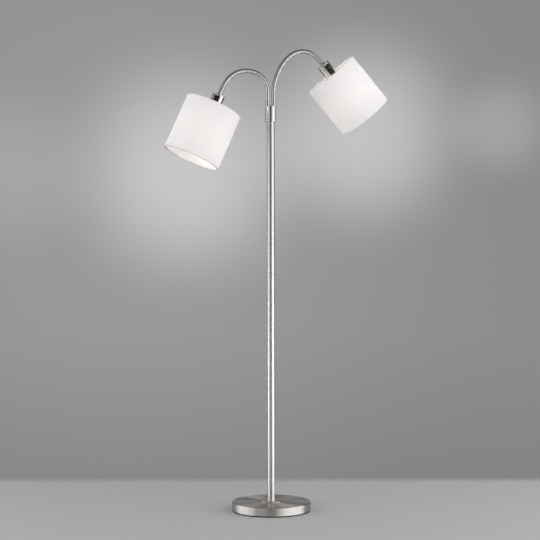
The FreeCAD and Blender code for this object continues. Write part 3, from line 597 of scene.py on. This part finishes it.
def make_base(finish):
    """The pressed cover: a rolled foot, an upright rim, a flat top and a boss round the pole."""
    low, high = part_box("base_cover")
    rim, boss, slope, hole = high.x, 38 * MM, 35 * MM, CUP_HOLE
    wall, deck, top = 1.2 * MM, high.z - 3 * MM, high.z
    outline = rounded_outline([
        (rim - wall, low.z, 0.55 * MM), (rim, low.z, 0.6 * MM), (rim, deck, 2.2 * MM),
        (boss, deck, 0.8 * MM), (slope, top, 1.0 * MM), (hole, top, 0.2 * MM),
        (hole, top - wall, 0.2 * MM), (slope, top - wall, 0.5 * MM), (boss, deck - wall, 0.5 * MM),
        (rim - wall, deck - wall, 1.0 * MM),
    ])
    cover = turned_piece("pressed_base_cover", outline, finish["brushed_top"], 256)
    carried(cover, "lamp_stand", "satin_nickel", "base_cover")
    low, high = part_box("base_pad")
    outline = rounded_outline([
        (2 * MM, low.z, 0), (high.x, low.z, 1.2 * MM), (high.x, high.z, 0.6 * MM), (2 * MM, high.z, 0),
    ])
    pad = turned_piece("foam_base_pad", outline, finish["black_pad"], 192)
    carried(pad, "lamp_stand", "black_pad", "base_pad")


def make_pole(finish):
    """Three tubes whose broken edges leave a fine groove at each seam."""
    wall, edge = 1.2 * MM, 0.5 * MM
    for name in ("pole_lower", "pole_middle", "pole_upper"):
        low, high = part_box(name)
        outline = rounded_outline([
            (high.x - wall, low.z, 0), (high.x, low.z, edge), (high.x, high.z, edge),
            (high.x - wall, high.z, 0),
        ])
        tube = turned_piece(name + "_tube", outline, finish["turned_nickel"], 96)
        carried(tube, "lamp_stand", "satin_nickel", name)


# ---------------------------------------------------------------- necks


def neck_line(side, distance):
    """The neck's line: its point, its direction and its two cross directions at each distance.

    Link k is an arc of length l and turn t that starts at point P and angle f in the heads' plane.
    At distance d along it the angle is f + t d / l, and the point is
    P + R (1 - cos(t d / l)) n(f) + R sin(t d / l) t(f), with R = l / t.
    """
    turns = np.radians(np.array(SIDES[side]["turns"] + (0.0,)))
    turns = np.where(np.abs(turns) < 1e-5, 1e-5, turns)
    length = SIDES[side]["neck_length"] / (len(turns) - 1)
    azimuth = math.radians(SIDES[side]["azimuth"])
    outward = np.array([math.cos(azimuth), math.sin(azimuth), 0.0]).round(9)
    up = np.array([0.0, 0.0, 1.0])
    starts = np.concatenate([[0], np.cumsum(turns)[:-1]])

    def ahead(angle):
        return np.sin(angle)[..., None] * outward + np.cos(angle)[..., None] * up

    def across(angle):
        return np.cos(angle)[..., None] * outward - np.sin(angle)[..., None] * up

    radius = (length / turns)[:, None]
    chords = radius * (
        (1 - np.cos(turns))[:, None] * across(starts) + np.sin(turns)[:, None] * ahead(starts))
    foot = outward * NECK_OFFSET + up * COLLAR_TOP
    points = foot + np.concatenate([np.zeros((1, 3)), np.cumsum(chords, 0)[:-1]])
    distance = np.asarray(distance, float)
    link = np.clip(np.floor(distance / length).astype(int), 0, len(turns) - 1)
    turn = turns[link] * (distance - link * length) / length
    r = (length / turns[link])[..., None]
    point = points[link] + r * (
        (1 - np.cos(turn))[..., None] * across(starts[link])
        + np.sin(turn)[..., None] * ahead(starts[link]))
    angle = starts[link] + turn
    aside = np.cross(up, outward)
    return point, ahead(angle), across(angle), np.broadcast_to(aside, point.shape)


def around_neck(side, distance, angle, radius):
    """The point at an angle round the neck's line: line + radius (cos a across + sin a aside)."""
    point, _, across, aside = neck_line(side, distance)
    return point + radius[..., None] * (
        np.cos(angle)[..., None] * across + np.sin(angle)[..., None] * aside)


def rib_radius(distance, angle):
    """The hose's radius: R less a groove of depth ((1 + cos 2 pi (d / pitch - a / 2 pi)) / 2)^n."""
    phase = 2 * math.pi * distance / RIB_PITCH - angle
    return NECK_RADIUS - GROOVE_DEPTH * (0.5 + 0.5 * np.cos(phase)) ** GROOVE_SHARPNESS


def wall_ease(side, joint, angle):
    """How far a link's wall stops short of a joint, which leaves it room at the neck's limits.

    A joint turns b back and c on from rest, so at angle a the wall stops R |cos a| tan(b / 2) before it
    on the outside of the bend, or R |cos a| tan(c / 2) on the inside, and a small gap more. The joints
    share a neck's whole travel by the turns of the two links that they join.
    """
    turns = np.array(SIDES[side]["turns"])
    shares = turns[:-1] + turns[1:]
    straight, bent = NECK_LIMITS
    share = shares[joint - 1] / shares.sum()
    back, on = share * (turns.sum() - straight), share * (bent - turns.sum())
    half = np.radians(np.where(np.cos(angle) < 0, back, on)) / 2
    return NECK_RADIUS * np.abs(np.cos(angle)) * np.tan(half) + LINK_GAP


def ball_rings(side, distance, offset, radius):
    """Rings round the straight line through a joint, at offsets along it and radii across it."""
    point, ahead, across, aside = neck_line(side, distance)
    angles = even_angles(HOSE_COLUMNS)[:, None]
    offset, radius = np.broadcast_arrays(offset, radius)
    return point + offset[..., None] * ahead + radius[..., None] * (
        np.cos(angles) * across + np.sin(angles) * aside)


def hose_link(side, index):
    """Patches of one closed link: its wound skin, a socket at its start, its bore, a ball at its end.

    The grooves climb one pitch each turn, so a point of the skin lies at pitch (row / rows per rib +
    a / 2 pi) along the neck. Points past an end are drawn back to it.
    """
    count = len(SIDES[side]["turns"])
    link = SIDES[side]["neck_length"] / count
    start, end = index * link, (index + 1) * link
    angles = even_angles(HOSE_COLUMNS)
    near = wall_ease(side, index, angles) if index > 0 else 0 * angles
    far = wall_ease(side, index + 1, angles) if index < count - 1 else 0 * angles
    first = math.floor(start / RIB_PITCH * ROWS_PER_RIB) - ROWS_PER_RIB
    last = math.ceil(end / RIB_PITCH * ROWS_PER_RIB) + ROWS_PER_RIB
    row = np.arange(first, last + 1)[:, None]
    distance = RIB_PITCH * (row / ROWS_PER_RIB + angles / (2 * math.pi))
    distance = np.clip(distance, start + near, end - far)
    angle = np.broadcast_to(angles, distance.shape)
    skin = around_neck(side, distance, angle, rib_radius(distance, angle))
    rings = [skin[:1]]
    share = np.linspace(0, 1, LINK_ROWS)[:, None]
    inside = start
    if index > 0:
        depth = math.sqrt(SOCKET_RADIUS ** 2 - NECK_BORE ** 2)
        offset = near + share * (depth - near)
        rings.append(ball_rings(side, start, offset, np.sqrt(SOCKET_RADIUS ** 2 - offset ** 2)))
        inside = start + depth
    bore = inside + share * (end - inside) + 0 * angles
    around = np.broadcast_to(angles, bore.shape)
    rings.append(around_neck(side, bore, around, np.full(bore.shape, NECK_BORE)))
    if index < count - 1:
        offset = BALL_REACH - share * (BALL_REACH + far)
        rings.append(ball_rings(side, end, np.full((1, HOSE_COLUMNS), BALL_REACH), BALL_MOUTH))
        rings.append(ball_rings(side, end, offset, np.sqrt(BALL_RADIUS ** 2 - offset ** 2)))
    rings.append(skin[-1:])
    return [patch(skin, lead=ROWS_PER_RIB), patch(np.concatenate(rings)[::-1])]


def lead_section(side, start, end):
    """Patches of one closed stretch of the lead inside the hose."""
    angles = even_angles(LEAD_COLUMNS)
    steps = np.linspace(start, end, LEAD_ROWS)
    distance = np.concatenate([[start], steps, [end]])[:, None] + 0 * angles
    radius = np.full(distance.shape, LEAD_RADIUS)
    radius[0] = radius[-1] = 0
    return [patch(around_neck(side, distance, np.broadcast_to(angles, distance.shape), radius))]


def make_neck(side, finish):
    """The hose in links that meet in balls and sockets at the joints, and the lead through them."""
    count = len(SIDES[side]["turns"])
    length = SIDES[side]["neck_length"]
    link = length / count
    for index in range(count):
        number = index + 1
        head = number == count
        body = side + "_head" if head else "%s_neck_%d" % (side, number)
        name = "%s_hose_%d" % (side, number)
        hose = make_mesh(name, hose_link(side, index), finish["hose_nickel"], sharp=60.0)
        carried(hose, body, "satin_nickel", "%s_neck_link_%d" % (side, number))
        start = -LEAD_TAIL if index == 0 else index * link + LEAD_GAP
        end = length + HOLDER_TOP if head else number * link - LEAD_GAP
        name = "%s_lead_%d" % (side, number)
        lead = make_mesh(name, lead_section(side, start, end), finish["lead_sheath"])
        carried(lead, body, "lead_sheath")
        if index == 0:
            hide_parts(side + "_neck_lead")


# ---------------------------------------------------------------- heads


def head_place(side):
    """The 4 x 4 place of a head: across, aside and ahead at the end of its neck."""
    point, ahead, across, aside = neck_line(side, SIDES[side]["neck_length"])
    place = np.eye(4)
    place[:3, :4] = np.stack([across, aside, ahead, point], -1)
    return place


def make_cup(side, place, finish):
    """The spun cup with a window for its switch, given its wall inwards."""
    facing = math.radians(SIDES[side]["switch_turn"] - 90)
    half = math.asin(WINDOW_WIDTH / 2 / CUP_RADIUS)
    front = np.linspace(-half, half, 15)
    rest = np.linspace(half, 2 * math.pi - half, 83)
    angles = np.concatenate([front, rest[1:-1]]) + facing
    outline = rounded_outline([
        (CUP_HOLE, 0, 0), (CUP_RADIUS, 0, CUP_EDGE), (CUP_RADIUS, WINDOW_SPAN[0], 0),
        (CUP_RADIUS, WINDOW_SPAN[1], 0), (CUP_RADIUS, CUP_LENGTH, 0),
    ], closed=False, steps=8)
    wide = len(front) - 1
    bottom = int(np.argmin(np.abs(outline[:, 1] - WINDOW_SPAN[0])))

    def keep(i, j):
        return ~((i == bottom) & (j < wide))

    skin = patch(turned(outline, angles), angles=angles, keep=keep)
    cup = make_mesh(side + "_spun_cup", [skin], finish["turned_nickel"], place)
    wall = cup.modifiers.new("wall", "SOLIDIFY")
    wall.thickness = CUP_WALL
    wall.offset = -1
    carried(cup, side + "_head", "satin_nickel", side + "_socket_cup")


def thread(pitch, depth, start, end, inner):
    """A rolled thread: depth (1 - cos 2 pi (z / pitch - a / 2 pi)) / 2, faded at both ends."""

    def cut(radius, height, angle):
        wave = 0.5 - 0.5 * np.cos(2 * math.pi * height / pitch - angle)
        fade = np.clip((height - start) / pitch, 0, 1) * np.clip((end - height) / pitch, 0, 1)
        return depth * wave * fade * (radius > inner)

    return cut


def dense(start, end, radius, step):
    """Points up a straight wall, close enough to carry a thread."""
    count = max(2, round((end - start) / step))
    return [(radius, z, 0) for z in np.linspace(start, end, count)]


def make_holder(side, place, finish):
    """The moulded holder: its threaded skirt, its flange against the cup and its plain back."""
    low, flange_end, skirt = CUP_LENGTH, 74 * MM, 19.3 * MM
    bore, floor, shell_end = 15.05 * MM, 52 * MM, 76 * MM
    corners = [
        (LEAD_RADIUS, HOLDER_TOP, 0), (17 * MM, HOLDER_TOP, 1.0 * MM), (17 * MM, low, 0),
        (19.95 * MM, low, 0.3 * MM), (19.95 * MM, flange_end, 0.3 * MM), (skirt, flange_end, 0),
    ]
    corners += dense(flange_end + 0.5 * MM, HOLDER_MOUTH - 1 * MM, skirt, 0.4 * MM)
    corners += [
        (skirt - 0.3 * MM, HOLDER_MOUTH, 0), (bore + 2.1 * MM, HOLDER_MOUTH, 0.4 * MM),
        (bore, shell_end, 0), (bore, floor, 0), (LEAD_RADIUS, floor, 0),
    ]
    cut = thread(2.6 * MM, 0.7 * MM, flange_end + 1 * MM, HOLDER_MOUTH - 0.5 * MM, 18.5 * MM)
    holder = turned_piece(
        side + "_moulded_holder", rounded_outline(corners), finish["holder_plastic"], 72, place, cut)
    carried(holder, side + "_head", "holder_plastic", side + "_lampholder_body")


def make_bulb(side, place, finish):
    """The bulb: a rolled screw cap and an opal envelope that flares from it into a round head."""
    start, end = BULB_CAP_SPAN
    tip, shoulder = 4.5 * MM, start + 4.35 * MM
    corners = [
        (0.2 * MM, start, 0), (tip, start, 0.5 * MM), (BULB_CAP_RADIUS - 1.2 * MM, shoulder, 0.8 * MM),
    ]
    corners += dense(shoulder + 0.8 * MM, end - 0.3 * MM, BULB_CAP_RADIUS, 0.45 * MM)
    corners += [(BULB_CAP_RADIUS - 0.3 * MM, end, 0), (0.2 * MM, end, 0)]
    cut = thread(3.6 * MM, 1.0 * MM, shoulder + 0.5 * MM, end - 2.5 * MM, 10 * MM)
    cap = turned_piece(
        side + "_rolled_cap", rounded_outline(corners), finish["bulb_metal"], 72, place, cut)
    carried(cap, side + "_head", "bulb_metal", side + "_bulb_cap")

    def envelope(radius, neck, low, high):
        """A flare, as a cubic curve from the neck, then an arc of the head up to the tip."""
        centre = high - radius
        join = math.radians(-32)
        side_point = np.array([radius * math.cos(join), centre + radius * math.sin(join)])
        lean = np.array([math.sin(-join), math.cos(join)]) * (centre - low) * 0.32
        q = np.linspace(0, 1, 22)[:, None]
        foot = np.array([neck, low])
        rise = foot + np.array([0, (centre - low) * 0.36])
        flare = ((1 - q) ** 3 * foot + 3 * (1 - q) ** 2 * q * rise
                 + 3 * (1 - q) * q ** 2 * (side_point - lean) + q ** 3 * side_point)
        arc = np.linspace(join, math.pi / 2, 30)[1:, None]
        head = np.concatenate([radius * np.cos(arc), centre + radius * np.sin(arc)], 1)
        head[-1, 0] = 0
        return np.concatenate([flare, head])

    outer = envelope(BULB_RADIUS, BULB_CAP_RADIUS, end, BULB_TIP)
    inner = envelope(
        BULB_RADIUS - BULB_WALL, BULB_CAP_RADIUS - BULB_WALL, end + BULB_WALL, BULB_TIP - BULB_WALL)
    inner[0] = (BULB_CAP_RADIUS - BULB_WALL, end)
    outline = np.concatenate([outer, inner[::-1]])
    glass = turned_piece(side + "_opal_bulb", outline, finish["opal_glass"], 64, place, sharp=80.0)
    carried(glass, side + "_head", "opal_glass", side + "_bulb_glass")


def make_shade(side, place, finish):
    """The drum: cloth rolled over the wire at both ends and turned in to a hem, and a liner inside."""
    top, bottom = SHADE_SPAN
    radius, inner = SHADE_RADIUS, SHADE_RADIUS - SHADE_WALL
    roll, hem = 1.5 * MM, 9 * MM
    over = inner - 2 * WIRE_RADIUS - 0.35 * MM
    angles = even_angles(192)
    cloth = rounded_outline([
        (inner, top + hem, 0), (over, top + hem - 4 * MM, 2 * MM), (over, top, roll),
        (radius, top, roll), (radius, bottom, roll), (over, bottom, roll),
        (over, bottom - hem + 4 * MM, 2 * MM), (inner, bottom - hem, 0),
    ], closed=False, steps=6, hold=0.8)
    lining = np.array([(inner, z) for z in np.linspace(bottom - hem, top + hem, 24)])
    skin = [patch(turned(cloth, angles)), patch(turned(lining, angles))]
    drum = make_mesh(side + "_cloth_shade", skin, finish["shade_fabric"], place, sharp=50.0)
    drum.data.materials.append(finish["shade_liner"])
    # a third slot of grey painted shade for the mouth's rim
    drum.data.materials.append(finish["painted_mouth_shade"])
    paint_shade(drum, place, inner, (top + roll, bottom - roll), bottom - 1.0 * MM)
    carried(drum, side + "_head", "shade_fabric", side + "_shade_drum")


def paint_shade(drum, place, inner, lining, edge):
    """Gives the liner's finish to the straight inner wall, and a grey band of painted shade to the last
    millimetre of the mouth's rim.
    """
    mesh = drum.data
    centres = np.zeros(len(mesh.polygons) * 3, np.float32)
    mesh.polygons.foreach_get("center", centres)
    local = (centres.reshape(-1, 3) - place[:3, 3]) @ place[:3, :3]
    reach, height = np.linalg.norm(local[:, :2], axis=1), local[:, 2]
    lined = (reach < inner + 0.2 * MM) & (height > lining[0]) & (height < lining[1])
    # slot 2 is painted shade: it greys the rim from the edge height down to the mouth
    slots = np.where(height > edge, 2, np.where(lined, 1, 0))
    mesh.polygons.foreach_set("material_index", slots.astype(np.int32))
    mesh.update()


def make_head(side, finish):
    """One head's cup, holder, bulb and shade at the end of its neck."""
    place = head_place(side)
    make_cup(side, place, finish)
    make_holder(side, place, finish)
    make_bulb(side, place, finish)
    make_shade(side, place, finish)


# ---------------------------------------------------------------- pieces kept as they are built

EASED = {
    "switch_housing": 0.6 * MM,
    "switch_rocker": 0.5 * MM,
    "base_nut": 0.4 * MM,
    "cup_nut": 0.4 * MM,
    "shade_ring": 0.3 * MM,
}


def ease_edges(name, piece):
    """Merges a kept node's faces, rounds the edges that EASED gives a radius, and shades it smooth."""
    weld = piece.modifiers.new("weld", "WELD")
    weld.merge_threshold = MERGED
    size = next((EASED[key] for key in EASED if name.endswith(key)), 0.0)
    if size:
        bevel = piece.modifiers.new("ease", "BEVEL")
        bevel.width = size
        bevel.segments = 3
        bevel.limit_method = "ANGLE"
        bevel.angle_limit = math.radians(40)
    piece.data.polygons.foreach_set("use_smooth", np.ones(len(piece.data.polygons), bool))
    split = piece.modifiers.new("split", "EDGE_SPLIT")
    split.split_angle = math.radians(32)


def finish_kept_nodes(finish):
    """Gives every kept node its slot's finish."""
    slots = {part["node"]: part["material_slot"] for part in frame["record"]["subparts"]}
    for name, piece in frame["nodes"].items():
        piece.data.materials.clear()
        piece.data.materials.append(finish[slots[name]])
        if not piece.hide_render:
            ease_edges(name, piece)


make_camera()
make_studio()
FINISH = make_materials()
make_base(FINISH)
make_pole(FINISH)
for side_name in SIDES:
    make_neck(side_name, FINISH)
    make_head(side_name, FINISH)
finish_kept_nodes(FINISH)
bpy.context.view_layer.update()
